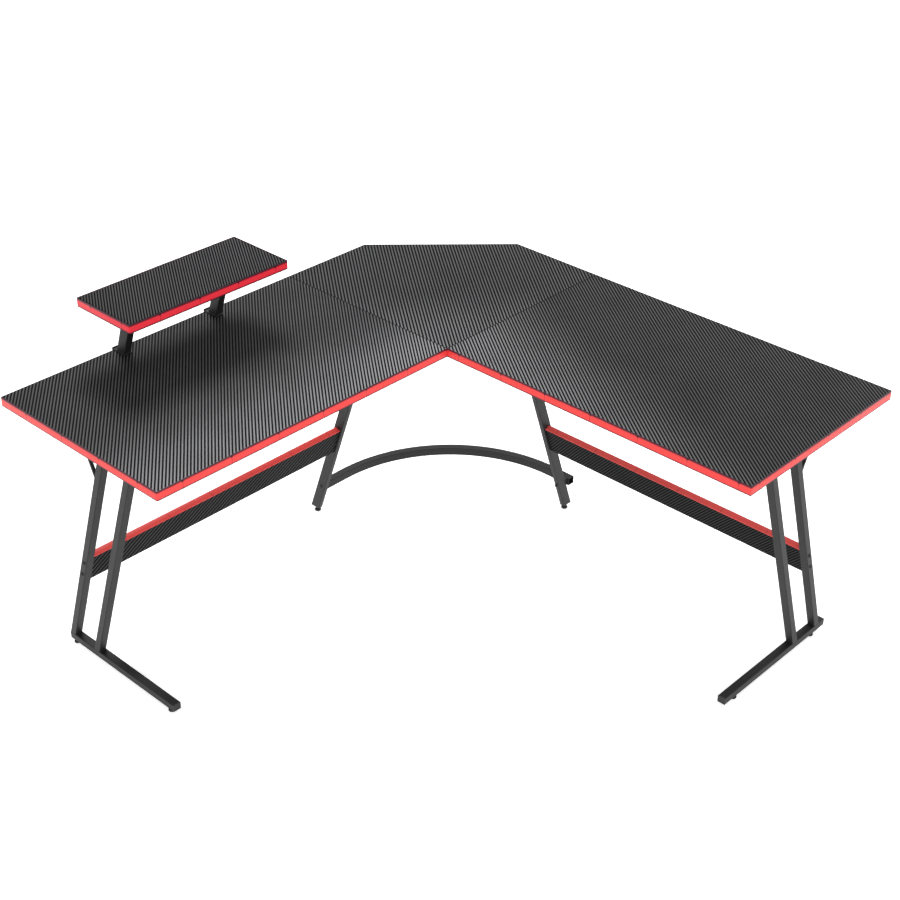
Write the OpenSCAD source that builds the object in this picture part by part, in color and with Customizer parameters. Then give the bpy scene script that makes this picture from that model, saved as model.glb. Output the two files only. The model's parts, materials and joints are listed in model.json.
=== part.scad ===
// L-shaped corner desk on leaning steel legs, with a raised shelf on its left wing.
//
// Most modules are drawn in wing coordinates: x runs from the wall into the room,
// y runs along the wall from the room's corner towards the wing's free end, z is up.
// left_wing() and right_wing() carry them to their places, as mirror images.

/* [Desktop] */
// Length along each wall, from the square corner to a wing's end
side_length = 1473; // [1200:1:1800]
// Depth of each wing, from the wall to its front edge
wing_depth = 579; // [520:1:700]
// Height of the desktop's upper face above the floor
desk_height = 734; // [640:1:880]
// Thickness of the desktop boards
top_t = 24; // [20:1:36]
// How far the square corner is cut back along each wall
corner_cut = 300; // [150:1:360]
// Thickness of the edge banding
band_t = 2; // [1:0.5:3]

/* [End frames] */
// Distance from a wing's end to the middle of its frame
frame_inset = 80; // [50:1:140]
// Lean of every leg into the room, in degrees from upright
lean = 19.5; // [10:0.5:22]
// Distance from the wall to the rear legs' centre line, at the floor
toe = 43; // [35:1:70]
// Distance from the rear upright to the front upright
upright_gap = 100; // [60:1:130]
// Width of the frame's tube, along the wall
tube_w = 22; // [18:1:40]
// Depth of the frame's tube
tube_d = 20; // [18:1:30]
// Wall thickness of every tube
wall = 1.5; // [1:0.1:2.5]
// Outer corner radius of every tube
corner_r = 2; // [1:0.5:3]
// Distance from the wall to the floor bar's front end
bar_front = 460; // [380:1:520]
// How far the right floor bar runs on behind its rear upright
right_tail = 25; // [0:1:40]
// Distance from the wall to the top bar's rear end
top_bar_back = 60; // [40:1:100]
// Length of the top bar
top_bar_length = 460; // [400:1:460]
// Height at which the knee brace meets the rear upright
brace_z = 575; // [480:1:600]
// Thickness of the knee brace
brace_t = 6; // [4:1:10]
// Width of the knee brace
brace_w = 8; // [6:1:20]
// How far the knee brace's head stands back from its foot
brace_reach = 50; // [40:1:110]

/* [Mid legs] */
// Depth of a mid leg's tube
mid_d = 30; // [25:1:40]
// Width of a mid leg's tube, along the wall
mid_w = 15; // [14:1:20]
// How far a mid leg stands from the seam, on the corner's side
mid_shift = 24; // [0:1:30]
// Length of the plate on top of a mid leg
mid_plate_l = 260; // [200:1:300]
// Width of the plate on top of a mid leg
mid_plate_w = 96; // [90:1:110]
// Thickness of the steel mounting plates
plate_t = 3; // [2:0.5:5]

/* [Arch brace] */
// Side of the arch's square tube
arch_tube = 23; // [16:1:25]
// Height of the arch's centre line
arch_z = 95; // [70:1:160]
// Bend radius of the arch's centre line
arch_r = 420; // [250:1:440]
// How far the arch sticks out past the right mid leg
arch_stub = 6; // [2:1:40]

/* [Stretcher boards] */
// Height of a stretcher board, along its lean
board_h = 85; // [70:1:130]
// Thickness of a stretcher board
board_t = 18; // [16:1:20]
// Distance from the floor to a stretcher board's top edge, along its lean
board_top = 338; // [250:1:420]

/* [Monitor stand] */
// Length of the shelf, along the wing
shelf_l = 480; // [400:1:600]
// Depth of the shelf
shelf_d = 200; // [160:1:260]
// Thickness of the shelf
shelf_t = 22; // [18:1:30]
// Height of the shelf's upper face above the desktop
shelf_rise = 173; // [110:1:200]
// Distance from the wall to the shelf's rear edge
shelf_back = 4; // [0:1:20]
// Distance from the wing's free end to the shelf
shelf_offset = 235; // [100:1:300]
// Distance between the two stand arms
arm_gap = 286; // [200:1:340]
// Depth of a stand arm's tube
arm_d = 30; // [20:1:36]
// Width of a stand arm's tube
arm_w = 20; // [14:1:24]
// Distance from the wall to an arm's centre line, at the desktop
arm_toe = 28; // [26:1:50]
// Width of the hooks that the arms stand on
hook_w = 24; // [24:1:40]

/* [Feet and fasteners] */
// Clear height under the tubes at rest, with the feet screwed home
foot_h = 13; // [10:0.5:20]
// Radius of a levelling foot's pad
pad_r = 9; // [8:0.5:12]
// Radius of the frame bolts' shanks and of the feet's studs
bolt_r = 3; // [2.5:0.5:4]
// Radius of the wood screws' shanks
screw_r = 2; // [1.5:0.25:2.5]

/* [Hidden] */
$fn = 48;

// Colours
laminate = [0.16, 0.16, 0.17];
band_red = [0.93, 0.25, 0.25];
frame_black = [0.26, 0.26, 0.27];
rubber_black = [0.10, 0.10, 0.10];
zinc = [0.72, 0.72, 0.70];
black_oxide = [0.14, 0.14, 0.15];
brass = [0.78, 0.62, 0.30];
beech = [0.80, 0.66, 0.45];

// Clearances: gap keeps moving faces apart, slip lets a shank pass, thread is a running fit
gap = 0.3;
slip = 0.3;
thread = 0.05;
// Longer than any piece, for tubes and cuts that are trimmed to length
far = 2000;

// Heights and centre planes that several pieces share
top_under = desk_height - top_t;
bar_top = foot_h + tube_d;
top_bar_z = top_under - tube_d;
frame_y = side_length - frame_inset;
mid_y = wing_depth - mid_shift;
cap_t = 1.5;
plug_l = 10;

// Half the level depth of a leaning tube, and a leaning centre line's distance from the wall
function level_half(depth) = depth / 2 / cos(lean);
function lean_x(z, start = toe) = start + z * tan(lean);

// Floor bars: the left one ends under its rear upright, the right one runs on behind it
left_bar_back = lean_x(bar_top) - level_half(tube_d);
right_bar_back = left_bar_back - right_tail;
// Distances of the feet from the bar's rear and front ends
left_foot_insets = [11, 22];
right_foot_insets = [46, 52];

// Knee brace: where it leaves the rear upright and where it meets the top bar
brace_foot_x = lean_x(brace_z) - level_half(tube_d);
brace_head_x = brace_foot_x - brace_reach;

// Top bar: a bolt behind the knee brace, one between the uprights and one before them
upright_top_x = lean_x(top_bar_z + tube_d / 2);
top_bar_bolt_x = [
    (top_bar_back + brace_head_x) / 2,
    upright_top_x + upright_gap / 2,
    (top_bar_back + top_bar_length + upright_top_x + upright_gap) / 2,
];

// Mid legs
mid_top_x = lean_x(top_under - plate_t);
mid_screw_x = mid_plate_l / 2 - 15;
mid_plug_l = 26;
mid_flange = 2;
mid_foot_x = lean_x(foot_h + mid_plug_l / 2);

// Arch: level with the left leg's centre, and just behind the right leg
arch_left = lean_x(arch_z);
arch_low = arch_z - arch_tube / 2;
arch_right = lean_x(arch_low) - level_half(mid_d) - arch_tube / 2;

// Stretcher boards lie in the legs' leaning plane, between the mid leg and the rear upright
board_y1 = mid_y + mid_w / 2;
board_y2 = frame_y - tube_w / 2;
board_bolt_z = [for (s = [-1, 1]) board_top - board_h / 2 + s * board_h / 4];
barrel_inset = 30;
barrel_r = 5;
barrel_l = board_t - 2;
bolt_past_nut = 10;

// Seam plates lie between the mid leg's plate and the boards' rear and front edges, and the
// front one stays clear of the other wing's.
// The dowels keep clear of every screw that goes up into the boards.
seam_plate = [40, 110];
seam_plate_x = [
    (mid_top_x - mid_plate_l / 2) / 2,
    min((mid_top_x + mid_plate_l / 2 + wing_depth) / 2,
        wing_depth - seam_plate.y / 2 - seam_plate.x / 2 - 2),
];
seam_dowel_x = [
    seam_plate_x[0] + seam_plate.x,
    mid_top_x - 0.4 * mid_screw_x,
    mid_top_x + 0.7 * mid_screw_x,
    seam_plate_x[1] + 0.8 * seam_plate.x,
];
dowel_r = 4;
dowel_l = 50;
screw_bite = 14;
insert_r = 5;
insert_l = 13;

// Monitor stand
shelf_y = side_length - shelf_offset - shelf_l;
shelf_mid = shelf_y + shelf_l / 2;
shelf_z = desk_height + shelf_rise - shelf_t;
arm_y = [shelf_mid + arm_gap / 2, shelf_mid - arm_gap / 2];
arm_low = desk_height + plate_t;
arm_high = shelf_z - plate_t;
arm_top_x = lean_x(arm_high - desk_height, arm_toe);
hook_reach = arm_toe + level_half(arm_d) + 4;
hook_lip = 6;
hook_screw_x = [18, hook_reach - 10];
stand_plate_l = 80;

// ---------- placing ----------

// The frame's origin is on the floor, under the middle of the desk's footprint,
// which the stand's hooks widen by their own thickness at the left wall
module left_wing() {
    translate([-(side_length - plate_t) / 2, side_length / 2, 0])
        mirror([0, 1, 0]) children();
}

module swap() { mirror([1, -1, 0]) children(); }

module right_wing() { left_wing() swap() children(); }

module both_wings() {
    left_wing() children();
    right_wing() children();
}

module at_y(y) { translate([0, y, 0]) children(); }

// Into the leaning plane of the rear uprights: z then runs up along the lean
module along_lean(start = toe) { translate([start, 0, 0]) rotate([0, lean, 0]) children(); }

// ---------- shared shapes ----------

module rounded_rect(size) {
    square([size.x - 2 * corner_r, size.y], center = true);
    square([size.x, size.y - 2 * corner_r], center = true);
    for (sx = [-1, 1], sy = [-1, 1])
        translate([sx * (size.x / 2 - corner_r), sy * (size.y / 2 - corner_r)])
            circle(r = corner_r);
}

module bore_rect(size, clearance = 0) {
    shrink = 2 * (wall + clearance);
    square([size.x - shrink, size.y - shrink], center = true);
}

module tube_section(size) {
    difference() {
        rounded_rect(size);
        bore_rect(size);
    }
}

// What leans, cut level at both ends
module level_cut(z1, z2) {
    intersection() {
        children();
        translate([-far / 2, -far / 2, z1]) cube([far, far, z2 - z1]);
    }
}

module leaning_prism(start, z1, z2) {
    level_cut(z1, z2)
        along_lean(start)
            translate([0, 0, z1 - far / 4]) linear_extrude(height = z2 - z1 + far / 2)
                children();
}

module leaning_tube(start, z1, z2, size) { leaning_prism(start, z1, z2) tube_section(size); }

// A level tube from x1 to x2 with its underside at z
module level_tube(x1, x2, z, size) {
    translate([x1, 0, z + size.x / 2]) rotate([0, 90, 0])
        linear_extrude(height = x2 - x1) tube_section(size);
}

// An end plug: a flat cap as large as the tube, and a tongue inside it, pointing +x
module end_plug(x, z, size) {
    translate([x, 0, z + size.x / 2]) rotate([0, 90, 0]) {
        linear_extrude(height = cap_t) rounded_rect(size);
        linear_extrude(height = cap_t + plug_l) bore_rect(size, thread);
    }
}

// A socket-head bolt: the shank runs up from z = 0 and the head hangs below
head_r = 5;
head_h = 2.6;
socket_r = 2.2;
module bolt(length, r = bolt_r) {
    cylinder(r = r, h = length);
    difference() {
        translate([0, 0, -head_h]) cylinder(r1 = head_r - 1, r2 = head_r, h = head_h);
        translate([0, 0, -head_h]) cylinder(r = socket_r, h = head_h / 2, $fn = 6);
    }
}

// A pan-head wood screw, drawn the same way, with a pointed tip
module wood_screw(length) {
    tip = 2 * screw_r;
    cylinder(r = screw_r, h = length - tip);
    translate([0, 0, length - tip]) cylinder(r1 = screw_r, r2 = 0.2, h = tip);
    difference() {
        translate([0, 0, -screw_r]) cylinder(r1 = 1.3 * screw_r, r2 = 2 * screw_r, h = screw_r);
        for (turn = [0, 90])
            rotate([0, 0, turn]) translate([-screw_r, -screw_r / 5, -screw_r])
                cube([2 * screw_r, 0.4 * screw_r, screw_r / 2]);
    }
}

// ---------- hole patterns, each shared by a plate, its screws and the board above ----------

module at_top_bar_bolts() {
    for (x = top_bar_bolt_x)
        translate([x, frame_y, 0]) children();
}

module at_mid_plate_screws() {
    for (dx = [-1, 0.4, 1], dy = [-1, 1])
        translate([mid_top_x + dx * mid_screw_x, mid_y + dy * (mid_plate_w / 2 - 10), 0])
            children();
}

module at_seam_screws() {
    for (x = seam_plate_x, dx = [-1, 1], dy = [-1, 1])
        translate([x + dx * (seam_plate.x / 2 - 8), wing_depth + dy * (seam_plate.y / 2 - 12), 0])
            children();
}

module at_hook_screws() {
    for (y = arm_y, x = hook_screw_x)
        translate([x, y, 0]) children();
}

module at_stand_plate_screws() {
    for (y = arm_y, dx = [-1, 1])
        translate([arm_top_x + dx * (stand_plate_l / 2 - 9), y, 0]) children();
}

// Blind holes in a board's underside
module drill_up(z, r, depth) { translate([0, 0, z - 1]) cylinder(r = r, h = depth + 1); }

module dowel_holes() {
    for (x = seam_dowel_x)
        translate([x, wing_depth, top_under + top_t / 2]) rotate([90, 0, 0])
            cylinder(r = dowel_r, h = dowel_l + 1, center = true);
}

module wing_holes() {
    at_top_bar_bolts() drill_up(top_under, insert_r, insert_l + 1);
    at_mid_plate_screws() drill_up(top_under, screw_r, screw_bite + 1);
    at_seam_screws() drill_up(top_under, screw_r, screw_bite + 1);
    dowel_holes();
}

// ---------- desktop ----------

module wing_board() {
    difference() {
        translate([band_t, wing_depth, top_under])
            cube([wing_depth - 2 * band_t, side_length - wing_depth - band_t, top_t]);
        wing_holes();
    }
}

module left_wing_panel() {
    color(laminate) left_wing() difference() {
        wing_board();
        at_hook_screws() drill_up(top_under, screw_r, screw_bite + 1);
    }
}

module right_wing_panel() { color(laminate) right_wing() wing_board(); }

// The corner's outline, drawn inside by a margin on its three outer edges
module corner_outline(margin) {
    cut = corner_cut + margin * (sqrt(2) - 1);
    polygon([
        [margin, cut], [cut, margin], [wing_depth, margin],
        [wing_depth, wing_depth], [margin, wing_depth],
    ]);
}

module corner_panel() {
    color(laminate) left_wing() difference() {
        translate([0, 0, top_under]) linear_extrude(height = top_t) corner_outline(band_t);
        wing_holes();
        swap() wing_holes();
    }
}

module wing_band() {
    translate([0, wing_depth, top_under]) difference() {
        cube([wing_depth, side_length - wing_depth, top_t]);
        translate([band_t, -1, -1])
            cube([wing_depth - 2 * band_t, side_length - wing_depth - band_t + 1, top_t + 2]);
    }
}

module left_wing_band() { color(band_red) left_wing() wing_band(); }

module right_wing_band() { color(band_red) right_wing() wing_band(); }

module corner_band() {
    color(band_red) left_wing() translate([0, 0, top_under]) linear_extrude(height = top_t)
        difference() {
            corner_outline(0);
            corner_outline(band_t);
        }
}

// ---------- seams ----------

module seam_dowels() {
    color(beech) both_wings()
        for (x = seam_dowel_x)
            translate([x, wing_depth, top_under + top_t / 2]) rotate([90, 0, 0])
                cylinder(r = dowel_r, h = dowel_l, center = true);
}

module seam_plates() {
    color(zinc) both_wings() difference() {
        for (x = seam_plate_x)
            translate([x - seam_plate.x / 2, wing_depth - seam_plate.y / 2, top_under - plate_t])
                cube([seam_plate.x, seam_plate.y, plate_t]);
        at_seam_screws() drill_up(top_under - plate_t, screw_r + slip, plate_t + 1);
    }
}

module seam_screws() {
    color(zinc) both_wings() at_seam_screws()
        translate([0, 0, top_under - plate_t]) wood_screw(plate_t + screw_bite);
}

// ---------- end frames ----------

frame_size = [tube_d, tube_w];

module at_floor_feet(back, insets) {
    for (x = [back + insets[0], bar_front - insets[1]])
        translate([x, frame_y, 0]) children();
}

module floor_bar(back, insets) {
    difference() {
        at_y(frame_y) level_tube(back + cap_t, bar_front - cap_t, foot_h, frame_size);
        at_floor_feet(back, insets) drill_up(foot_h, nut_r, wall + 1);
    }
}

module left_floor_bar() { color(frame_black) left_wing() floor_bar(left_bar_back, left_foot_insets); }

module right_floor_bar() {
    color(frame_black) right_wing() floor_bar(right_bar_back, right_foot_insets);
}

module bar_caps(x1, x2, z) {
    at_y(frame_y) {
        end_plug(x1, z, frame_size);
        translate([x2, 0, 0]) mirror([1, 0, 0]) end_plug(0, z, frame_size);
    }
}

// The tongue of a cap over a foot is shorter than the foot's inset, so it clears the nut
module floor_caps(back, insets) {
    difference() {
        bar_caps(back, bar_front, foot_h);
        at_floor_feet(back, insets)
            translate([0, 0, foot_h]) cylinder(r = nut_flange_r + gap, h = tube_d);
    }
}

module left_bar_caps() { color(rubber_black) left_wing() floor_caps(left_bar_back, left_foot_insets); }

module right_bar_caps() {
    color(rubber_black) right_wing() floor_caps(right_bar_back, right_foot_insets);
}

module at_board_bolts(y) {
    along_lean()
        for (z = board_bolt_z)
            translate([0, y, z]) children();
}

module rear_upright() {
    difference() {
        at_y(frame_y) leaning_tube(toe, bar_top, top_bar_z, frame_size);
        at_board_bolts(frame_y) rotate([90, 0, 0])
            cylinder(r = bolt_r + slip, h = tube_w + 2, center = true);
    }
}

module front_upright() {
    at_y(frame_y) leaning_tube(toe + upright_gap, bar_top, top_bar_z, frame_size);
}

module left_rear_upright() { color(frame_black) left_wing() rear_upright(); }

module left_front_upright() { color(frame_black) left_wing() front_upright(); }

module right_rear_upright() { color(frame_black) right_wing() rear_upright(); }

module right_front_upright() { color(frame_black) right_wing() front_upright(); }

module top_bar() {
    difference() {
        at_y(frame_y)
            level_tube(top_bar_back + cap_t, top_bar_back + top_bar_length - cap_t,
                top_bar_z, frame_size);
        at_top_bar_bolts() drill_up(top_bar_z, bolt_r + slip, tube_d + 1);
    }
}

module left_top_bar() { color(frame_black) left_wing() top_bar(); }

module right_top_bar() { color(frame_black) right_wing() top_bar(); }

module top_bar_caps() {
    color(rubber_black) both_wings()
        bar_caps(top_bar_back, top_bar_back + top_bar_length, top_bar_z);
}

// A thin strut from the rear upright's back up to the top bar, trimmed to both
module knee_brace() {
    rise = atan2(top_bar_z - brace_z, brace_head_x - brace_foot_x);
    at_y(frame_y + brace_w / 2) rotate([90, 0, 0]) linear_extrude(height = brace_w)
        intersection() {
            translate([brace_foot_x, brace_z]) rotate(rise)
                translate([-far / 4, -brace_t / 2]) square([far / 2, brace_t]);
            polygon([
                [0, 0], [lean_x(0) - level_half(tube_d), 0],
                [lean_x(top_bar_z) - level_half(tube_d), top_bar_z], [0, top_bar_z],
            ]);
        }
}

module left_knee_brace() { color(frame_black) left_wing() knee_brace(); }

module right_knee_brace() { color(frame_black) right_wing() knee_brace(); }

module frame_bolts() {
    color(zinc) both_wings() at_top_bar_bolts()
        translate([0, 0, top_bar_z]) bolt(tube_d + insert_l - 1);
}

module panel_inserts() {
    color(brass) both_wings() at_top_bar_bolts() translate([0, 0, top_under]) difference() {
        cylinder(r = insert_r, h = insert_l);
        translate([0, 0, -1]) cylinder(r = bolt_r + thread, h = insert_l + 2);
    }
}

// ---------- levelling feet and the nuts they screw into ----------

nut_r = bolt_r + 1.5;
nut_flange_r = bolt_r + 3;
nut_l = 12;
stud_l = 16;
pad_h = 6;
collar_r = 5.5;

module foot_nut() {
    difference() {
        union() {
            cylinder(r = nut_r, h = nut_l);
            translate([0, 0, wall]) cylinder(r = nut_flange_r, h = 1.5);
        }
        translate([0, 0, -1]) cylinder(r = bolt_r + thread, h = nut_l + 2);
    }
}

module foot_nuts() {
    color(zinc) {
        left_wing() at_floor_feet(left_bar_back, left_foot_insets)
            translate([0, 0, foot_h]) foot_nut();
        right_wing() at_floor_feet(right_bar_back, right_foot_insets)
            translate([0, 0, foot_h]) foot_nut();
    }
}

// A chamfered pad, a hexagonal collar to turn it by, and a stud
module levelling_foot() {
    chamfer = 1;
    cylinder(r1 = pad_r - chamfer, r2 = pad_r, h = chamfer);
    translate([0, 0, chamfer]) cylinder(r = pad_r, h = pad_h - 2 * chamfer);
    translate([0, 0, pad_h - chamfer]) cylinder(r1 = pad_r, r2 = pad_r - chamfer, h = chamfer);
    translate([0, 0, pad_h]) cylinder(r = collar_r, h = foot_h - gap - pad_h, $fn = 6);
    translate([0, 0, pad_h]) cylinder(r = bolt_r, h = foot_h - pad_h + stud_l);
}

module foot_left_rear() {
    color(rubber_black) left_wing()
        translate([left_bar_back + left_foot_insets[0], frame_y, 0]) levelling_foot();
}

module foot_left_front() {
    color(rubber_black) left_wing()
        translate([bar_front - left_foot_insets[1], frame_y, 0]) levelling_foot();
}

module foot_right_rear() {
    color(rubber_black) right_wing()
        translate([right_bar_back + right_foot_insets[0], frame_y, 0]) levelling_foot();
}

module foot_right_front() {
    color(rubber_black) right_wing()
        translate([bar_front - right_foot_insets[1], frame_y, 0]) levelling_foot();
}

module foot_mid_left() {
    color(rubber_black) left_wing() translate([mid_foot_x, mid_y, 0]) levelling_foot();
}

module foot_mid_right() {
    color(rubber_black) right_wing() translate([mid_foot_x, mid_y, 0]) levelling_foot();
}

// ---------- mid legs ----------

mid_size = [mid_d, mid_w];

module mid_leg() {
    difference() {
        at_y(mid_y) leaning_tube(toe, foot_h + mid_flange, top_under - plate_t, mid_size);
        at_board_bolts(mid_y) rotate([90, 0, 0])
            cylinder(r = bolt_r + slip, h = mid_w + 2, center = true);
    }
}

// The left leg is drilled across for the arch's end, the right one from front to back
module left_mid_leg() {
    color(frame_black) left_wing() difference() {
        mid_leg();
        translate([arch_left, mid_y, arch_z]) rotate([90, 0, 0])
            cylinder(r = bolt_r + slip, h = mid_w + 2, center = true);
    }
}

module right_mid_leg() {
    color(frame_black) right_wing() difference() {
        mid_leg();
        translate([0, mid_y, arch_z]) rotate([0, 90, 0])
            cylinder(r = bolt_r + slip, h = 2 * arch_left);
    }
}

module mid_plate() {
    difference() {
        translate([mid_top_x - mid_plate_l / 2, mid_y - mid_plate_w / 2, top_under - plate_t])
            cube([mid_plate_l, mid_plate_w, plate_t]);
        at_mid_plate_screws() drill_up(top_under - plate_t, screw_r + slip, plate_t + 1);
    }
}

module left_mid_plate() { color(frame_black) left_wing() mid_plate(); }

module right_mid_plate() { color(frame_black) right_wing() mid_plate(); }

module mid_plate_screws() {
    color(zinc) both_wings() at_mid_plate_screws()
        translate([0, 0, top_under - plate_t]) wood_screw(plate_t + screw_bite);
}

// A moulded plug with a flange under the tube and an upright hole for the foot's stud
module mid_plug() {
    difference() {
        at_y(mid_y) {
            leaning_prism(toe, foot_h, foot_h + mid_flange) rounded_rect(mid_size);
            leaning_prism(toe, foot_h, foot_h + mid_plug_l) bore_rect(mid_size, thread);
        }
        translate([mid_foot_x, mid_y, 0]) cylinder(r = bolt_r + thread, h = far);
    }
}

module left_mid_plug() { color(rubber_black) left_wing() mid_plug(); }

module right_mid_plug() { color(rubber_black) right_wing() mid_plug(); }

// ---------- arch brace, drawn in the left wing's coordinates ----------

arch_start = mid_y - mid_w / 2;
arch_end = mid_y + mid_w / 2 + arch_stub;
arch_bolt_x = arch_right - arch_tube / 2;
arch_nut_h = 5;

module arch_section() { tube_section([arch_tube, arch_tube]); }

module arch_brace() {
    bend = [arch_left + arch_r, arch_right + arch_r];
    color(frame_black) left_wing() difference() {
        union() {
            translate([arch_left, bend.y, arch_z]) rotate([-90, 0, 0])
                linear_extrude(height = arch_start - bend.y) arch_section();
            translate([bend.x, bend.y, arch_z]) rotate([0, 0, 180])
                rotate_extrude(angle = 90, $fn = 96) translate([arch_r, 0]) arch_section();
            translate([bend.x, arch_right, arch_z]) rotate([90, 0, 90])
                linear_extrude(height = arch_end - bend.x) arch_section();
        }
        translate([mid_y, 0, arch_z]) rotate([-90, 0, 0])
            cylinder(r = bolt_r + slip, h = 2 * arch_right);
    }
}

// Closes the arch's left end and takes the bolt that comes through the leg
arch_plug_l = 24;
module arch_end_plug() {
    color(rubber_black) left_wing() translate([arch_left, arch_start, arch_z]) rotate([90, 0, 0])
        difference() {
            linear_extrude(height = arch_plug_l) bore_rect([arch_tube, arch_tube], thread);
            translate([0, 0, -1]) cylinder(r = bolt_r + thread, h = arch_plug_l + 2);
        }
}

// A wedge that fills the space between the upright arch and the leaning right leg
module arch_saddle() {
    front = arch_right + arch_tube / 2;
    rise = arch_tube * tan(lean);
    color(rubber_black) right_wing() difference() {
        at_y(mid_y + mid_w / 2) rotate([90, 0, 0]) linear_extrude(height = mid_w)
            polygon([
                [front, arch_low], [front + rise, arch_low + arch_tube],
                [front, arch_low + arch_tube],
            ]);
        translate([0, mid_y, arch_z]) rotate([0, 90, 0])
            cylinder(r = bolt_r + slip, h = 2 * arch_left);
    }
}

module arch_bolts() {
    color(black_oxide) {
        left_wing() translate([arch_left, mid_y + mid_w / 2, arch_z]) rotate([90, 0, 0])
            bolt(mid_w + arch_plug_l - 4);
        right_wing() translate([arch_front, mid_y, arch_z]) rotate([0, -90, 0])
            bolt(arch_front - arch_bolt_x + arch_nut_h + 1);
    }
}

// The right bolt's head rests on a spot where its rim first meets the leaning face
arch_front = lean_x(arch_z + head_r) + level_half(mid_d);

module arch_nut() {
    color(black_oxide) right_wing() translate([arch_bolt_x, mid_y, arch_z]) rotate([0, -90, 0])
        difference() {
            cylinder(r = head_r + 0.8, h = arch_nut_h, $fn = 6);
            translate([0, 0, -1]) cylinder(r = bolt_r + thread, h = arch_nut_h + 2);
        }
}

// ---------- stretcher boards ----------

module stretcher() {
    difference() {
        along_lean() translate([-board_t / 2, board_y1, board_top - board_h])
            cube([board_t, board_y2 - board_y1, board_h - band_t]);
        at_board_bolts(board_y1) rotate([90, 0, 0])
            cylinder(r = bolt_r + slip, h = 2 * (barrel_inset + bolt_past_nut), center = true);
        at_board_bolts(board_y2) rotate([90, 0, 0])
            cylinder(r = bolt_r + slip, h = 2 * (barrel_inset + bolt_past_nut), center = true);
        at_barrel_nuts() translate([0, 0, -1]) cylinder(r = barrel_r, h = barrel_l + 1);
    }
}

// Barrel nuts go in from the board's rear face
module at_barrel_nuts() {
    along_lean()
        for (z = board_bolt_z, y = [board_y1 + barrel_inset, board_y2 - barrel_inset])
            translate([-board_t / 2, y, z]) rotate([0, 90, 0]) children();
}

module left_stretcher() { color(laminate) left_wing() stretcher(); }

module right_stretcher() { color(laminate) right_wing() stretcher(); }

module stretcher_band() {
    along_lean() translate([-board_t / 2, board_y1, board_top - band_t])
        cube([board_t, board_y2 - board_y1, band_t]);
}

module left_stretcher_band() { color(band_red) left_wing() stretcher_band(); }

module right_stretcher_band() { color(band_red) right_wing() stretcher_band(); }

module stretcher_bolts() {
    reach = barrel_inset + bolt_past_nut - 1;
    color(black_oxide) both_wings() {
        at_board_bolts(board_y1 - mid_w) rotate([-90, 0, 0]) bolt(mid_w + reach);
        at_board_bolts(board_y2 + tube_w) rotate([90, 0, 0]) bolt(tube_w + reach);
    }
}

module barrel_nuts() {
    color(zinc) both_wings() at_barrel_nuts() difference() {
        cylinder(r = barrel_r, h = barrel_l);
        translate([0, 0, board_t / 2]) rotate([90, 0, 0])
            cylinder(r = bolt_r + thread, h = 3 * barrel_r, center = true);
    }
}

// ---------- monitor stand ----------

module shelf_panel() {
    color(laminate) left_wing() difference() {
        translate([shelf_back + band_t, shelf_y + band_t, shelf_z])
            cube([shelf_d - 2 * band_t, shelf_l - 2 * band_t, shelf_t]);
        at_stand_plate_screws() drill_up(shelf_z, screw_r, screw_bite + 1);
    }
}

module shelf_band() {
    color(band_red) left_wing() translate([shelf_back, shelf_y, shelf_z]) difference() {
        cube([shelf_d, shelf_l, shelf_t]);
        translate([band_t, band_t, -1])
            cube([shelf_d - 2 * band_t, shelf_l - 2 * band_t, shelf_t + 2]);
    }
}

module stand_arm(y) {
    at_y(y) translate([0, 0, desk_height])
        leaning_tube(arm_toe, plate_t, arm_high - desk_height, [arm_d, arm_w]);
}

module stand_arm_outer() { color(frame_black) left_wing() stand_arm(arm_y[0]); }

module stand_arm_inner() { color(frame_black) left_wing() stand_arm(arm_y[1]); }

// A steel strap bent round the desktop's rear edge, under an arm, with a lip standing up
module stand_hook(y) {
    difference() {
        at_y(y + hook_w / 2) rotate([90, 0, 0]) linear_extrude(height = hook_w)
            difference() {
                union() {
                    translate([-plate_t, top_under - plate_t])
                        square([plate_t + hook_reach, top_t + 2 * plate_t]);
                    translate([-plate_t, desk_height]) square([plate_t, hook_lip]);
                }
                translate([0, top_under]) square([hook_reach + 1, top_t]);
            }
        at_hook_screws() drill_up(top_under - plate_t, screw_r + slip, plate_t + 1);
    }
}

module stand_hook_outer() { color(frame_black) left_wing() stand_hook(arm_y[0]); }

module stand_hook_inner() { color(frame_black) left_wing() stand_hook(arm_y[1]); }

module stand_top_plates() {
    color(frame_black) left_wing() difference() {
        for (y = arm_y)
            translate([arm_top_x - stand_plate_l / 2, y - hook_w / 2, arm_high])
                cube([stand_plate_l, hook_w, plate_t]);
        at_stand_plate_screws() drill_up(arm_high, screw_r + slip, plate_t + 1);
    }
}

module stand_screws() {
    color(zinc) left_wing() {
        at_hook_screws() translate([0, 0, top_under - plate_t]) wood_screw(plate_t + screw_bite);
        at_stand_plate_screws() translate([0, 0, arm_high]) wood_screw(plate_t + screw_bite);
    }
}

left_wing_panel();
right_wing_panel();
corner_panel();
left_wing_band();
right_wing_band();
corner_band();
seam_dowels();
seam_plates();
seam_screws();
left_floor_bar();
right_floor_bar();
left_bar_caps();
right_bar_caps();
left_rear_upright();
left_front_upright();
right_rear_upright();
right_front_upright();
left_top_bar();
right_top_bar();
top_bar_caps();
left_knee_brace();
right_knee_brace();
frame_bolts();
panel_inserts();
foot_nuts();
left_mid_leg();
right_mid_leg();
left_mid_plate();
right_mid_plate();
mid_plate_screws();
left_mid_plug();
right_mid_plug();
arch_brace();
arch_end_plug();
arch_saddle();
arch_bolts();
arch_nut();
left_stretcher();
right_stretcher();
left_stretcher_band();
right_stretcher_band();
stretcher_bolts();
barrel_nuts();
shelf_panel();
shelf_band();
stand_arm_outer();
stand_arm_inner();
stand_hook_outer();
stand_hook_inner();
stand_top_plates();
stand_screws();
foot_left_rear();
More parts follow.
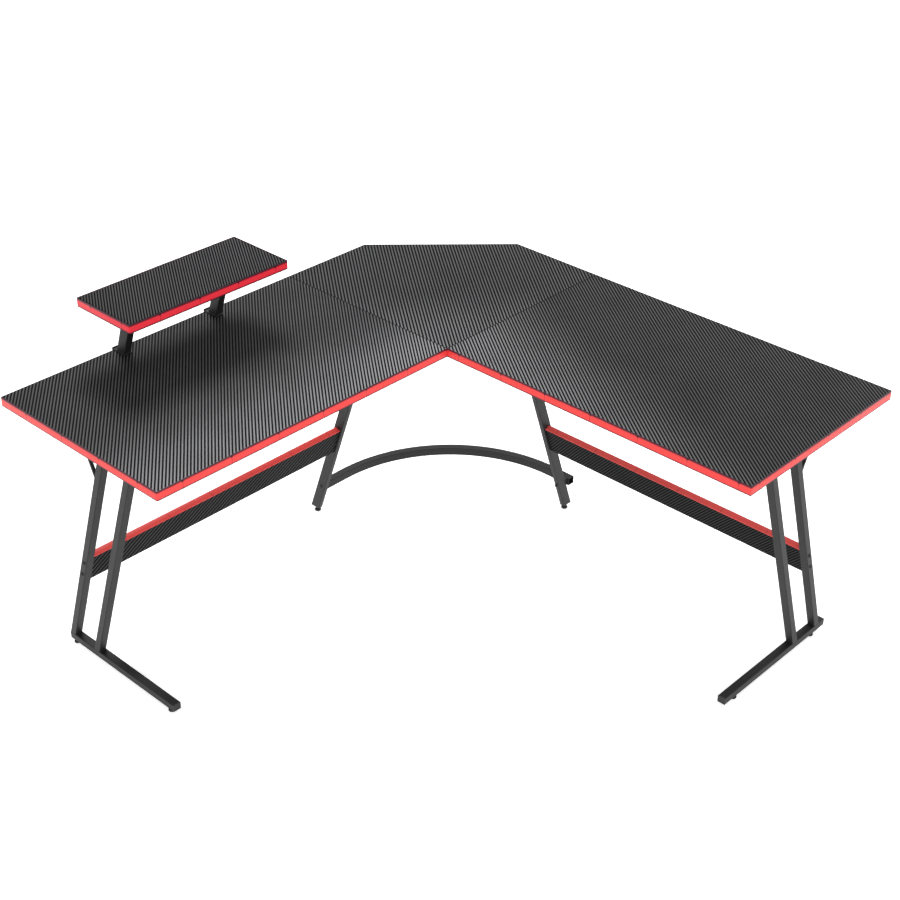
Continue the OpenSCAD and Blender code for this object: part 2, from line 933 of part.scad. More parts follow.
foot_left_front();
foot_right_rear();
foot_right_front();
foot_mid_left();
foot_mid_right();
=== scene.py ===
"""Looks of the corner desk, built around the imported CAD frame. Metres, in the part's own frame."""

import json
import math

import bmesh
import bpy
from mathutils import Matrix, Vector


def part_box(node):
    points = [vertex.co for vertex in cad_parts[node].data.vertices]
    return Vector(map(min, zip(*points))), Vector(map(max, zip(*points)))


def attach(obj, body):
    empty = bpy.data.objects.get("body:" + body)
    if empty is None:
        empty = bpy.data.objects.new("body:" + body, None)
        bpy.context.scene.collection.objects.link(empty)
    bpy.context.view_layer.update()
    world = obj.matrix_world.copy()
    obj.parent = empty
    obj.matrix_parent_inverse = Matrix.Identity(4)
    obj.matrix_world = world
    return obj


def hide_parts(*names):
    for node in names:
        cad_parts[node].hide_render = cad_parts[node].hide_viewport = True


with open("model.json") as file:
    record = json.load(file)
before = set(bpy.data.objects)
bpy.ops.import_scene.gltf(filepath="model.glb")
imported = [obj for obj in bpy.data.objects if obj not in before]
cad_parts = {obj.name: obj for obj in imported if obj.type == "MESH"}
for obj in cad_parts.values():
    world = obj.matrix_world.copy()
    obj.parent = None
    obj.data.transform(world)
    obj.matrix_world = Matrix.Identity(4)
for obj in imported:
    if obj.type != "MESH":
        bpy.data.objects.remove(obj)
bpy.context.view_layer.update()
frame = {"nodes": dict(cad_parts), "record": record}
nodes = frame["nodes"]

DESK = "desk"
LEAN = math.radians(19.5)      # of every leg, into the room
MM = 0.001

# ---------------------------------------------------------------- camera, view and light

CAM_AZIMUTH, CAM_ELEVATION, CAM_ROLL = (math.radians(a) for a in (43.0, 31.85, 0.59))
CAM_PLACE = Vector((2.266, -2.426, 2.641))
CAM_LENS = 65.55
WORLD_LIGHT = 0.66


def make_camera():
    """A camera that looks along its azimuth and down by its elevation, rolled a little."""
    forward = Vector((-math.sin(CAM_AZIMUTH) * math.cos(CAM_ELEVATION),
                      math.cos(CAM_AZIMUTH) * math.cos(CAM_ELEVATION),
                      -math.sin(CAM_ELEVATION)))
    level = Vector((math.cos(CAM_AZIMUTH), math.sin(CAM_AZIMUTH), 0))
    above = level.cross(forward)
    right = level * math.cos(CAM_ROLL) + above * math.sin(CAM_ROLL)
    up = above * math.cos(CAM_ROLL) - level * math.sin(CAM_ROLL)
    data = bpy.data.cameras.new("camera")
    data.lens = CAM_LENS
    data.sensor_width = 36
    data.clip_start, data.clip_end = 0.05, 100
    cam = bpy.data.objects.new("camera", data)
    turn = Matrix((right, up, -forward)).transposed()
    cam.matrix_world = Matrix.Translation(CAM_PLACE) @ turn.to_4x4()
    bpy.context.scene.collection.objects.link(cam)
    bpy.context.scene.camera = cam


def area_light(name, place, aim, size, power):
    """A round soft light at place, turned towards aim."""
    data = bpy.data.lights.new(name, "AREA")
    data.shape = "DISK"
    data.size = size
    data.energy = power
    light = bpy.data.objects.new(name, data)
    light.location = place
    light.rotation_mode = "QUATERNION"
    light.rotation_quaternion = (Vector(aim) - Vector(place)).to_track_quat("-Z", "Y")
    bpy.context.scene.collection.objects.link(light)


make_camera()
scene = bpy.context.scene
scene.view_settings.view_transform = "Standard"
scene.view_settings.look = "None"

world = bpy.data.worlds.new("studio")
world.use_nodes = True
world.node_tree.nodes["Background"].inputs["Color"].default_value = (1, 1, 1, 1)
world.node_tree.nodes["Background"].inputs["Strength"].default_value = WORLD_LIGHT
scene.world = world

area_light("key", (-1.9, 0.9, 3.6), (-0.2, 0.0, 0.7), 1.5, 95)
area_light("back", (0.5, 2.7, 2.3), (0.3, 0.5, 0.4), 1.4, 26)
area_light("fill", (3.6, -3.0, 2.4), (0, 0, 0.5), 3.0, 38)

# ---------------------------------------------------------------- node helpers


class Tree:
    """A short way to write a material's nodes."""

    def __init__(self, name):
        self.mat = bpy.data.materials.new(name)
        self.mat.use_nodes = True
        self.nodes = self.mat.node_tree.nodes
        self.links = self.mat.node_tree.links
        self.shader = self.nodes["Principled BSDF"]
        self.place = self.nodes.new("ShaderNodeTexCoord").outputs["Object"]

    def set(self, **sockets):
        for name, value in sockets.items():
            self.shader.inputs[name.replace("_", " ")].default_value = value

    def plug(self, socket, name):
        self.links.new(socket, self.shader.inputs[name])

    def feed(self, node, values):
        for i, v in enumerate(values):
            if isinstance(v, bpy.types.NodeSocket):
                self.links.new(v, node.inputs[i])
            elif v is not None:
                node.inputs[i].default_value = v

    def math(self, kind, *values):
        node = self.nodes.new("ShaderNodeMath")
        node.operation = kind
        self.feed(node, values)
        return node.outputs[0]

    def dot(self, a, b):
        node = self.nodes.new("ShaderNodeVectorMath")
        node.operation = "DOT_PRODUCT"
        self.feed(node, (a, b))
        return node.outputs["Value"]

    def normal(self):
        return self.nodes.new("ShaderNodeNewGeometry").outputs["Normal"]

    def noise(self, scale, detail, rough=0.5):
        node = self.nodes.new("ShaderNodeTexNoise")
        self.links.new(self.place, node.inputs["Vector"])
        node.inputs["Scale"].default_value = scale
        node.inputs["Detail"].default_value = detail
        node.inputs["Roughness"].default_value = rough
        return node.outputs["Fac"]

    def smooth(self, value, low, high, to_low=0.0, to_high=1.0):
        node = self.nodes.new("ShaderNodeMapRange")
        node.interpolation_type = "SMOOTHSTEP"
        self.feed(node, (value, low, high, to_low, to_high))
        return node.outputs[0]

    def linear(self, value, low, high, to_low, to_high):
        node = self.nodes.new("ShaderNodeMapRange")
        self.feed(node, (value, low, high, to_low, to_high))
        return node.outputs[0]

    def mix(self, fac, a, b):
        node = self.nodes.new("ShaderNodeMix")
        node.data_type = "RGBA"
        for name, v in (("Factor", fac), ("A", a), ("B", b)):
            socket = [s for s in node.inputs if s.name == name and s.enabled][0]
            if isinstance(v, bpy.types.NodeSocket):
                self.links.new(v, socket)
            else:
                socket.default_value = v if name == "Factor" else (*v, 1)
        return [s for s in node.outputs if s.enabled][0]

    def bump(self, height, strength, distance):
        node = self.nodes.new("ShaderNodeBump")
        node.inputs["Strength"].default_value = strength
        node.inputs["Distance"].default_value = distance
        self.links.new(height, node.inputs["Height"])
        self.plug(node.outputs["Normal"], "Normal")


# ---------------------------------------------------------------- materials

UP = Vector((0, 0, 1))
RIB_DARK = (0.0015, 0.0015, 0.0016)
UNDERSIDE = (0.020, 0.020, 0.021)
WEAVE = 1.3 * MM                              # from one thread across a rib to the next
SEAM_CORE, SEAM_FADE = 0.5 * MM, 2.4 * MM     # from a seam: fully dark, and clear of it


def grey(value):
    return (value, value, value * 1.03)


def laminate(name, across, along, face, pitch, rib_and_painted_sheen_tones, front=None, seams=(), gloss=0.045):
    """Black foil with a woven look. across and along are unit vectors in the board's plane,
    square to the ribs and along them. face is the way the printed side looks, and every other
    side stays plain. The two tones are the ribs' own brightness away from the front edge, and the
    lighter tone of a painted sheen that they reach near it. front gives the way that edge faces,
    its place and how far the painted sheen reaches. seams are planes where the board meets its
    neighbour and the foil's cut edge looks dark."""
    t = Tree(name)
    u = t.math("DIVIDE", t.dot(t.place, across), pitch)
    v = t.dot(t.place, along)
    u = t.math("ADD", u, t.linear(t.noise(38, 1), 0, 1, -0.03, 0.03))
    ridge = t.math("PINGPONG", u, 0.5)                      # 0 in a gap, 0.5 on a rib
    rib = t.smooth(ridge, 0.20, 0.34)
    # Threads lean across each rib, like the turns of a cord
    lean = t.math("MULTIPLY", ridge, pitch * 1.6)
    thread = t.math("PINGPONG", t.math("DIVIDE", t.math("ADD", v, lean), WEAVE), 0.5)
    thread = t.smooth(thread, 0.06, 0.22, 0.74, 1.0)
    streak = t.linear(t.noise(9, 3), 0.3, 0.7, 0.88, 1.10)
    shine = t.math("MULTIPLY", t.math("MULTIPLY", rib, thread), streak)
    for way, at in seams:
        off = t.math("ABSOLUTE", t.math("SUBTRACT", t.dot(t.place, way), at))
        shine = t.math("MULTIPLY", shine, t.smooth(off, SEAM_CORE, SEAM_FADE, 0.15, 1.0))
    light = grey(rib_and_painted_sheen_tones[0])
    # Painted sheen: towards the front edge the ribs' colour turns lighter
    if front:
        way, edge, spread = front
        painted_sheen_nearness = t.smooth(t.math("SUBTRACT", edge, t.dot(t.place, way)), spread, 0.0)
        light = t.mix(painted_sheen_nearness, grey(rib_and_painted_sheen_tones[0]), grey(rib_and_painted_sheen_tones[1]))
    colour = t.mix(shine, RIB_DARK, light)
    printed = t.smooth(t.dot(t.normal(), face), 0.3, 0.6)
    t.plug(t.mix(printed, UNDERSIDE, colour), "Base Color")
    t.plug(t.linear(rib, 0, 1, 0.66, 0.50), "Roughness")
    t.set(Specular_IOR_Level=gloss)
    height = t.math("MULTIPLY", t.math("ADD", rib, t.math("MULTIPLY", thread, 0.25)), printed)
    t.bump(height, 0.35, 0.12 * MM)
    return t.mat


def rib_axes(direction):
    """Across and along for ribs on a level board, at an angle in degrees from +X."""
    a = math.radians(direction)
    along = Vector((math.cos(a), math.sin(a), 0))
    return Vector((-along.y, along.x, 0)), along


PAINTED_RIM_SHADE = 7.0 * MM      # how far the painted shade along a band's rims fades


def banding(name, colour, run, pitch, rims=None):
    """Edge banding: satin plastic with butt joints every pitch. run weighs X and Y, so that one
    pattern serves edges along either. Where rims gives the band's lower and upper height, it gets
    painted shade towards both, with a nick in the upper rim at each joint."""
    t = Tree(name)
    phase = t.math("PINGPONG", t.dot(t.place, run), pitch / 2)
    joint = t.smooth(phase, 0.2 * MM, 1.6 * MM, 0.55, 1.0)
    tint = t.linear(t.noise(22, 3), 0.3, 0.7, 0.96, 1.03)
    clean = t.math("MULTIPLY", joint, tint)
    if rims:
        z = t.dot(t.place, UP)
        top = t.math("SUBTRACT", rims[1], z)
        bottom = t.math("SUBTRACT", z, rims[0])
        nick = t.smooth(t.math("ADD", top, phase), 6.0 * MM, 9.0 * MM)
        # Painted shade along the top and bottom rims, with the middle left bright
        painted_rim_shade = t.math("MULTIPLY", t.smooth(top, 1.3 * MM, PAINTED_RIM_SHADE),
                      t.smooth(bottom, 0.9 * MM, 0.75 * PAINTED_RIM_SHADE))
        clean = t.math("MULTIPLY", clean, t.math("MULTIPLY", nick, painted_rim_shade))
    # Dark maroon for the joints and nicks, and for the painted shade along the rims
    t.plug(t.mix(clean, (0.055, 0.006, 0.018), colour), "Base Color")
    t.plug(t.linear(t.noise(300, 2), 0.3, 0.7, 0.36, 0.46), "Roughness")
    t.set(Specular_IOR_Level=0.22)
    t.bump(t.math("ADD", joint, t.math("MULTIPLY", t.noise(420, 2), 0.15)), 0.2, 0.1 * MM)
    return t.mat


def scaled(colour, factor):
    return [c * factor for c in colour]


def powder_coat(name, colour):
    """Satin coating with a fine fleck and faint patches."""
    t = Tree(name)
    fleck = t.noise(900, 3, 0.6)
    patch = t.noise(6, 2)
    shade = t.math("ADD", t.linear(fleck, 0.3, 0.7, -0.10, 0.10),
                   t.linear(patch, 0.3, 0.7, -0.05, 0.05))
    t.plug(t.mix(t.math("ADD", shade, 0.5), scaled(colour, 0.8), scaled(colour, 1.2)), "Base Color")
    t.plug(t.linear(fleck, 0.3, 0.7, 0.42, 0.60), "Roughness")
    t.set(Specular_IOR_Level=0.24)
    t.bump(fleck, 0.25, 0.08 * MM)
    return t.mat


def moulded(name, colour, rough):
    """Plastic with a fine moulded grain."""
    t = Tree(name)
    grain = t.noise(1400, 3, 0.6)
    t.plug(t.mix(t.linear(grain, 0.3, 0.7, 0, 1), scaled(colour, 0.85), scaled(colour, 1.2)),
           "Base Color")
    t.plug(t.linear(t.noise(60, 2), 0.3, 0.7, rough - 0.06, rough + 0.06), "Roughness")
    t.set(Specular_IOR_Level=0.4)
    t.bump(grain, 0.2, 0.05 * MM)
    return t.mat


def plated(name, colour, rough):
    """Bare or plated metal, slightly clouded."""
    t = Tree(name)
    t.set(Metallic=1.0)
    cloud = t.noise(90, 4, 0.6)
    t.plug(t.mix(t.linear(cloud, 0.3, 0.7, 0, 1), scaled(colour, 0.86), colour), "Base Color")
    t.plug(t.linear(t.noise(500, 2), 0.3, 0.7, rough - 0.08, rough + 0.08), "Roughness")
    t.bump(cloud, 0.1, 0.05 * MM)
    return t.mat


def beech(name):
    """Pale wood for the dowels."""
    t = Tree(name)
    grain = t.noise(160, 4, 0.6)
    t.plug(t.mix(t.linear(grain, 0.3, 0.7, 0, 1), (0.55, 0.36, 0.19), (0.72, 0.53, 0.32)),
           "Base Color")
    t.plug(t.linear(grain, 0.3, 0.7, 0.55, 0.7), "Roughness")
    t.bump(grain, 0.2, 0.1 * MM)
    return t.mat


MAT = {
    "frame": powder_coat("powder_coat", (0.0190, 0.0190, 0.0195)),
    "plastic": moulded("moulded_black", (0.016, 0.016, 0.017), 0.5),
    "steel": plated("zinc", (0.62, 0.63, 0.64), 0.36),
    "black_screws": powder_coat("black_oxide", (0.030, 0.030, 0.032)),
    "insert": plated("brass", (0.76, 0.56, 0.27), 0.34),
    "dowel": beech("beech"),
}

# Where the two front edges meet, and each seam as the direction across it and its place
INNER_CORNER = Vector((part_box("left_wing_band")[1].x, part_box("right_wing_band")[0].y, 0))
LEFT_SEAM = (Vector((0, 1, 0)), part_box("corner_panel")[0].y)
RIGHT_SEAM = (Vector((1, 0, 0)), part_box("corner_panel")[1].x)


def painted_sheen_edge_at(way, reach):
    """A front edge through the inner corner, square to way, and how far the painted sheen reaches
    from it.
    """
    return Vector(way), Vector(way).dot(INNER_CORNER), reach


def level_board(node, name, rib_angle, pitch_mm, rib_and_painted_sheen_tones, **more):
    """A flat board with ribs at an angle in degrees from +X."""
    across, along = rib_axes(rib_angle)
    MAT[node] = laminate(name, across, along, UP, pitch_mm * MM, rib_and_painted_sheen_tones, **more)


# The second tone of each board is the painted sheen by its front edge
level_board("left_wing_panel", "laminate_left", 140.6, 7.55, (0.092, 0.27),
            front=painted_sheen_edge_at((1, 0, 0), 0.29), seams=(LEFT_SEAM,))
level_board("corner_panel", "laminate_corner", 141.4, 8.3, (0.086, 0.19),
            front=painted_sheen_edge_at((0.7071, -0.7071, 0), 0.34), seams=(LEFT_SEAM, RIGHT_SEAM))
level_board("right_wing_panel", "laminate_right", 143.6, 7.95, (0.078, 0.245),
            front=painted_sheen_edge_at((-0.30, -0.954, 0), 0.38), seams=(RIGHT_SEAM,))
level_board("shelf_panel", "laminate_shelf", 146.8, 6.6, (0.080, 0.080), gloss=0.02)


def leaning_board(node, name, wall_run, into_room, rib_angle, pitch_mm, tone):
    """A stretcher board, its ribs at an angle in degrees from its length."""
    rise = into_room * math.sin(LEAN) + UP * math.cos(LEAN)
    a = math.radians(rib_angle)
    along = wall_run * math.cos(a) + rise * math.sin(a)
    across = wall_run * -math.sin(a) + rise * math.cos(a)
    face = into_room * math.cos(LEAN) - UP * math.sin(LEAN)
    MAT[node] = laminate(name, across, along, face, pitch_mm * MM, (tone, tone), gloss=0.03)


ALONG_X, ALONG_Y = Vector((1, 0, 0)), Vector((0, 1, 0))
# One laminate on both boards; the right board's darker tone is painted shade
leaning_board("left_stretcher", "laminate_stretcher_left", ALONG_Y, ALONG_X, 47, 13.5, 0.050)
leaning_board("right_stretcher", "laminate_stretcher_right", ALONG_X, -ALONG_Y, 49, 6.83, 0.036)

DESK_RIMS = tuple(v.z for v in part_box("left_wing_band"))
SHELF_RIMS = tuple(v.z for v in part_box("shelf_band"))
DESK_JOINTS, SHELF_JOINTS = 0.137, 0.118      # from one butt joint to the next
RED = (0.88, 0.060, 0.056)
# Painted light: the stretcher bands' reds are lighter than RED, the right one most, making up for
# the shade under the desktop
for node, name, colour, run, pitch, rims in (
        ("left_wing_band", "banding_left", RED, (1, 1, 0), DESK_JOINTS, DESK_RIMS),
        ("right_wing_band", "banding_right", RED, (1, -1, 0), DESK_JOINTS, DESK_RIMS),
        ("corner_band", "banding_corner", RED, (1, -1, 0), DESK_JOINTS, DESK_RIMS),
        ("shelf_band", "banding_shelf", (1.0, 0.036, 0.060), (1, 1, 0), SHELF_JOINTS, SHELF_RIMS),
        ("left_stretcher_band", "banding_stretcher_left", (0.98, 0.085, 0.075), (0, 1, 0),
         DESK_JOINTS, None),
        ("right_stretcher_band", "banding_stretcher_right", (1.0, 0.115, 0.105), (1, 0, 0),
         DESK_JOINTS, None)):
    MAT[node] = banding(name, colour, Vector(run), pitch, rims)

# ---------------------------------------------------------------- CAD nodes that stay

slot_of = {s["node"]: s["material_slot"] for s in frame["record"]["subparts"]}
for name, obj in nodes.items():
    mat = MAT.get(name) or MAT[slot_of[name]]
    obj.data.materials.clear()
    obj.data.materials.append(mat)

# ---------------------------------------------------------------- mesh helpers

# The corner between the two walls, in the part's frame, and the desktop's sizes in mm. CUT is
# how far the square corner is cut back along each wall.
OX = round(-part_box("left_wing_band")[0].x, 4)
OY = round(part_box("right_wing_band")[1].y, 4)
WING_DEPTH = round((INNER_CORNER.x + OX) / MM)
SIDE = round((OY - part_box("left_wing_band")[0].y) / MM)
CUT = 300
LOW, HIGH = (z / MM for z in DESK_RIMS)
BAND, PLATE = 2, 3      # thickness of the edge banding and of the steel plates, in mm


def left(x, y, z):
    """From the left wing's own coordinates, in mm, to the part's frame."""
    return Vector((x * MM - OX, OY - y * MM, z * MM))


def right(x, y, z):
    return left(y, x, z)


def piece(name, bm, mat, body=DESK, stands_for=(), smooth=35):
    """Makes an object from bm. Edges sharper than smooth, in degrees, stay sharp."""
    bmesh.ops.recalc_face_normals(bm, faces=bm.faces)
    mesh = bpy.data.meshes.new(name)
    bm.to_mesh(mesh)
    bm.free()
    obj = bpy.data.objects.new(name, mesh)
    bpy.context.scene.collection.objects.link(obj)
    mesh.materials.append(mat)
    mesh.shade_smooth()
    mesh.set_sharp_from_angle(angle=math.radians(smooth))
    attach(obj, body)
    if stands_for:
        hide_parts(*stands_for)


def skin(bm, rings):
    """Joins rings of points, each a closed loop of the same length, into a tube with end caps."""
    loops = [[bm.verts.new(p) for p in ring] for ring in rings]
    for one, two in zip(loops, loops[1:]):
        for i in range(len(one)):
            j = (i + 1) % len(one)
            bm.faces.new((one[i], one[j], two[j], two[i]))
    bm.faces.new(loops[0])
    bm.faces.new(loops[-1])


def round_corners(path, radius, steps=4):
    """An open path of 2-D points with every corner between its ends turned into an arc."""
    out = [Vector(path[0])]
    for a, b, c in zip(path, path[1:], path[2:]):
        a, b, c = Vector(a), Vector(b), Vector(c)
        u, v = (a - b).normalized(), (c - b).normalized()
        half = u.angle(v) / 2
        cut = radius / math.tan(half)
        middle = b + (u + v).normalized() * (radius / math.sin(half))
        start, end = b + u * cut - middle, b + v * cut - middle
        for k in range(steps + 1):
            out.append(middle + start.slerp(end, k / steps, start).normalized() * radius)
    out.append(Vector(path[-1]))
    return out


def sweep(bm, path, profile, to_world):
    """Carries a profile of (outward, height) along a 2-D path, with mitred corners. Outward is
    to the left of the way the path runs."""
    rings = []
    for i, p in enumerate(path):
        before = (p - path[i - 1]).normalized() if i else None
        after = (path[i + 1] - p).normalized() if i + 1 < len(path) else None
        a = before or after
        b = after or before
        na, nb = Vector((-a.y, a.x)), Vector((-b.y, b.x))
        m = (na + nb) / (1 + na.dot(nb))
        rings.append([to_world(p.x + m.x * n, p.y + m.y * n, z) for n, z in profile])
    skin(bm, rings)


# ---------------------------------------------------------------- edge banding

BAND_R, CORNER_R = 0.8, 2.6      # the banding's rims, and its turns round a board's corners


def band_profile(low, high):
    """Flat inside, with the two outer edges rounded."""
    r = BAND_R
    arc = [(math.cos(a) * r - r, math.sin(a) * r) for a in (0, 0.39, 0.79, 1.18, math.pi / 2)]
    outer = [(n, high - r + h) for n, h in arc] + [(-BAND, high)]
    return [(-BAND, low)] + [(n, low + r - h) for n, h in reversed(arc)] + outer


def band(name, path, low, high, to_world, stands_for):
    """Banding along an open path of (x, y) in wing coordinates."""
    bm = bmesh.new()
    sweep(bm, round_corners([Vector(p) for p in path], CORNER_R), band_profile(low, high), to_world)
    piece(name, bm, MAT[stands_for], stands_for=(stands_for,))


wing_path = ((0, WING_DEPTH), (0, SIDE), (WING_DEPTH, SIDE), (WING_DEPTH, WING_DEPTH))
band("left_wing_edge", wing_path, LOW, HIGH, left, "left_wing_band")
band("right_wing_edge", wing_path, LOW, HIGH, right, "right_wing_band")

# The shelf's banding starts and ends at the middle of its rear edge
shelf_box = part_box("shelf_band")
y1, y2 = (OY - shelf_box[1].y) / MM, (OY - shelf_box[0].y) / MM
x1, x2 = (shelf_box[0].x + OX) / MM, (shelf_box[1].x + OX) / MM
y_mid = (y1 + y2) / 2
shelf_path = ((x1, y_mid), (x1, y1), (x2, y1), (x2, y2), (x1, y2), (x1, y_mid))
band("shelf_edge", shelf_path, SHELF_RIMS[0] / MM, SHELF_RIMS[1] / MM, left, "shelf_band")

corner_path = ((WING_DEPTH, 0), (CUT, 0), (0, CUT), (0, WING_DEPTH))
band("corner_edge", corner_path, LOW, HIGH, left, "corner_band")

# The rear uprights' distance from the wall at the floor, the stretcher boards' thickness, and
# the height of their upper edge measured along the lean
TOE = 43
BOARD_T, BOARD_TOP = 18, 338


def leaning(x, y, z):
    """From the rear uprights' leaning plane to wing coordinates."""
    return TOE + x * math.cos(LEAN) + z * math.sin(LEAN), y, z * math.cos(LEAN) - x * math.sin(LEAN)


def stretcher_edge(node, to_world, ends):
    """Banding on a stretcher board's upper edge, its two rims rounded."""
    half, r = BOARD_T / 2, BAND_R
    arc = [(half - r + r * math.sin(a), BOARD_TOP - r + r * math.cos(a))
           for a in (0, 0.5, 1.05, 1.57)]
    profile = [(-x, z) for x, z in reversed(arc)] + arc
    profile = [(-half, BOARD_TOP - BAND)] + profile + [(half, BOARD_TOP - BAND)]
    bm = bmesh.new()
    skin(bm, [[to_world(*leaning(x, y, z)) for x, z in profile] for y in ends])
    piece(node.replace("_band", "_edge"), bm, MAT[node], stands_for=(node,))


low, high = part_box("left_stretcher_band")
ends = ((OY - high.y) / MM, (OY - low.y) / MM)
stretcher_edge("left_stretcher_band", left, ends)
stretcher_edge("right_stretcher_band", right, ends)

# ---------------------------------------------------------------- stand hooks

hook_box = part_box("stand_hook_outer")
HOOK_REACH = (hook_box[1].x + OX) / MM
LIP = hook_box[1].z / MM
BEND_R, EASED = 2.5, 0.45      # the outer bend's radius and the easing of the edges
SHARP = 0.9      # the turn, in radians, from which an edge is eased


def hook(node):
    """A strap bent round the desktop's rear edge, its outer bend rounded and its edges eased."""
    low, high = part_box(node)
    bend = [(-PLATE + BEND_R - BEND_R * math.sin(a), LOW - PLATE + BEND_R - BEND_R * math.cos(a))
            for a in (0, 0.4, 0.8, 1.2, 1.57)]
    outline = [(HOOK_REACH, LOW - PLATE)] + bend + [
        (-PLATE, LIP), (0, LIP), (0, HIGH + PLATE), (HOOK_REACH, HIGH + PLATE),
        (HOOK_REACH, HIGH), (0, HIGH), (0, LOW), (HOOK_REACH, LOW)]
    bm = bmesh.new()
    skin(bm, [[Vector((x * MM - OX, y, z * MM)) for x, z in outline] for y in (low.y, high.y)])
    bmesh.ops.recalc_face_normals(bm, faces=bm.faces)
    sharp = [e for e in bm.edges if e.calc_face_angle(0) > SHARP and e.is_convex]
    bmesh.ops.bevel(bm, geom=sharp, offset=EASED * MM, segments=2, profile=0.5, affect="EDGES")
    piece(node + "_strap", bm, MAT["frame"], stands_for=(node,))


hook("stand_hook_outer")
hook("stand_hook_inner")

# ---------------------------------------------------------------- levelling feet


def lathe(bm, x, y, profile, around, ribs=0.0):
    """Turns a profile of (radius, height) in mm about an upright line at x, y, in around steps.
    Every other step of its widest part is cut back by the share that ribs gives."""
    widest = max(r for r, z in profile)
    rings = []
    for r, z in profile:
        ring = []
        for k in range(around):
            a = 2 * math.pi * k / around
            cut = r * (1 - ribs * (k % 2) * (r == widest)) * MM
            ring.append((x + cut * math.cos(a), y + cut * math.sin(a), z * MM))
        rings.append(ring)
    skin(bm, rings)


THREAD_ROOT, THREAD_CREST, THREAD_STEP = 2.62, 2.95, 0.5
THREAD_FROM = 12.4
PAD_STEPS, PAD_RIBS = 56, 0.06
HEXAGON, STUD_STEPS = 6, 20


def levelling_foot(node):
    """A ribbed pad with a hexagonal collar, and the threaded stud above it."""
    low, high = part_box(node)
    x, y = (low.x + high.x) / 2, (low.y + high.y) / 2
    pad_r, top = (high.x - low.x) / MM / 2, high.z / MM
    bm = bmesh.new()
    lathe(bm, x, y, [(pad_r - 1.6, 0), (pad_r - 0.8, 0.4), (pad_r, 1.3), (pad_r, 4.8),
                     (pad_r - 0.6, 5.5), (pad_r - 1.6, 6.0)], PAD_STEPS, PAD_RIBS)
    lathe(bm, x, y, [(4.9, 5.8), (5.5, 6.5), (5.5, 12.0), (4.9, 12.7)], HEXAGON)
    piece(node + "_pad", bm, MAT["plastic"], node + "_body", (node,), smooth=25)
    bm = bmesh.new()
    turns = range(int((top - THREAD_FROM - 1) / THREAD_STEP))
    thread = [(THREAD_ROOT if k % 2 else THREAD_CREST, THREAD_FROM + THREAD_STEP * k)
              for k in turns]
    lathe(bm, x, y, thread + [(2.4, top - 0.6), (1.8, top)], STUD_STEPS)
    piece(node + "_stud", bm, MAT["steel"], node + "_body", smooth=50)


for node in nodes:
    if node.startswith("foot_") and node != "foot_nuts":
        levelling_foot(node)

# ---------------------------------------------------------------- weld beads

BEAD_SIZE, BEAD_ROOT = 1.7, 0.4      # its reach out of the angle, and into the metal
RIPPLE, RING_STEP = 1.9, 0.6
END_GAP, SIDE_GAP = 1.5, 2           # how far a bead stops short of the tube's corners


def bead(start, end, out, up):
    """The rings of a rippled fillet of weld from start to end, in the angle between out and up,
    in mm."""
    start, end, out, up = (Vector(v) for v in (start, end, out, up))
    length = (end - start).length
    count = max(6, int(length / RING_STEP))
    rings = []
    for i in range(count + 1):
        s = i / count
        taper = min(1.0, 0.35 + min(s, 1 - s) * length / 2.0)
        r = BEAD_SIZE * taper * (1 + 0.13 * math.sin(2 * math.pi * s * length / RIPPLE))
        middle = start.lerp(end, s)
        ring = [middle - out * BEAD_ROOT - up * BEAD_ROOT]
        for a in (0.0, 0.4, 0.8, 1.18, math.pi / 2):
            bulge = r * (0.86 + 0.14 * abs(math.cos(2 * a)))
            ring.append(middle + (out * math.cos(a) + up * math.sin(a)) * bulge)
        rings.append(ring)
    return rings


def lean_x(z, start=TOE):
    """Where a leg that stands at start has got to at height z."""
    return start + z * math.tan(LEAN)


def tube_welds(bm, to_world, x, y, z, depth, width, up, sides):
    """Beads round a leaning tube's level end: on its front and rear faces, and its sides."""
    half = depth / 2 / math.cos(LEAN)
    w = width / 2
    lines = [((x + s * half, y - w + END_GAP, z), (x + s * half, y + w - END_GAP, z), (s, 0, 0))
             for s in (-1, 1)]
    if sides:
        lines += [((x - half + SIDE_GAP, y + s * w, z), (x + half - SIDE_GAP, y + s * w, z),
                   (0, s, 0)) for s in (-1, 1)]
    for start, end, out in lines:
        rings = bead(start, end, out, (0, 0, up))
        skin(bm, [[to_world(*p) for p in ring] for ring in rings])


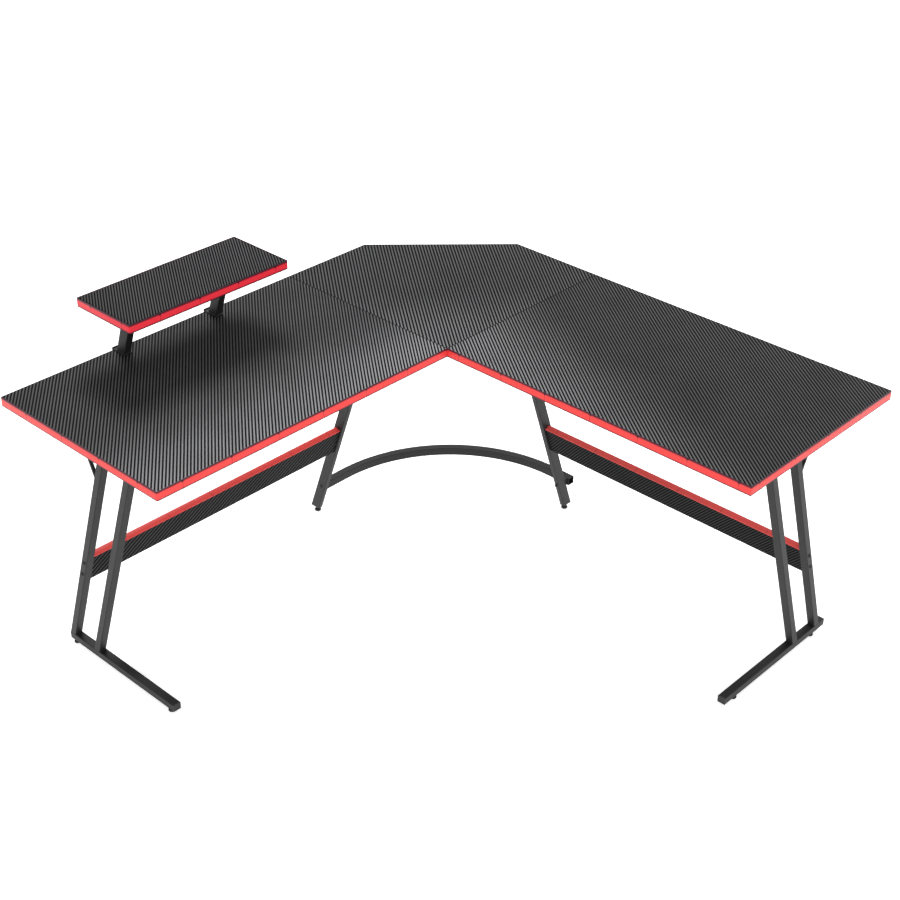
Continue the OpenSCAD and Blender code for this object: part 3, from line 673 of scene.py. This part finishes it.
# Depth and width of the tubes of the end frames, the mid legs and the stand's arms
TUBE_D, TUBE_W = 20, 22
MID_D, MID_W = 30, 15
ARM_D, ARM_W = 30, 20
# Where they stand. The arms' toe is their distance from the wall at the desktop's upper face.
UPRIGHT_GAP, FRAME_INSET, MID_SHIFT, ARM_TOE = 100, 80, 24, 28
FRAME_Y, MID_Y = SIDE - FRAME_INSET, WING_DEPTH - MID_SHIFT
FOOT_H = 13
BAR_TOP, BAR_UNDER = FOOT_H + TUBE_D, LOW - TUBE_D
bm = bmesh.new()
for to_world in (left, right):
    for start in (TOE, TOE + UPRIGHT_GAP):
        for z, up in ((BAR_TOP, 1), (BAR_UNDER, -1)):
            tube_welds(bm, to_world, lean_x(z, start), FRAME_Y, z, TUBE_D, TUBE_W, up, False)
    tube_welds(bm, to_world, lean_x(LOW - PLATE), MID_Y, LOW - PLATE, MID_D, MID_W, -1, True)
for node in ("stand_arm_outer", "stand_arm_inner"):
    low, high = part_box(node)
    y = (OY - (low.y + high.y) / 2) / MM
    for z, up in ((low.z / MM, 1), (high.z / MM, -1)):
        tube_welds(bm, left, lean_x(z - HIGH, ARM_TOE), y, z, ARM_D, ARM_W, up, True)
piece("weld_beads", bm, MAT["frame"], smooth=60)

# ---------------------------------------------------------------- floor

FLOOR_REACH, FLOOR_GLOW = 15, 0.62


def floor():
    """A pale studio floor that glows a little, so that it comes out white under the desk."""
    mesh = bpy.data.meshes.new("floor")
    bm = bmesh.new()
    bmesh.ops.create_grid(bm, x_segments=2, y_segments=2, size=FLOOR_REACH)
    bm.to_mesh(mesh)
    bm.free()
    obj = bpy.data.objects.new("floor", mesh)
    bpy.context.scene.collection.objects.link(obj)
    t = Tree("pale_floor")
    t.plug(t.mix(t.linear(t.noise(3, 2), 0.3, 0.7, 0, 1), (0.93, 0.93, 0.93), (0.95, 0.95, 0.95)),
           "Base Color")
    t.set(Roughness=0.9, Specular_IOR_Level=0.1)
    t.shader.inputs["Emission Color"].default_value = (1, 1, 1, 1)
    t.shader.inputs["Emission Strength"].default_value = FLOOR_GLOW
    mesh.materials.append(t.mat)


floor()
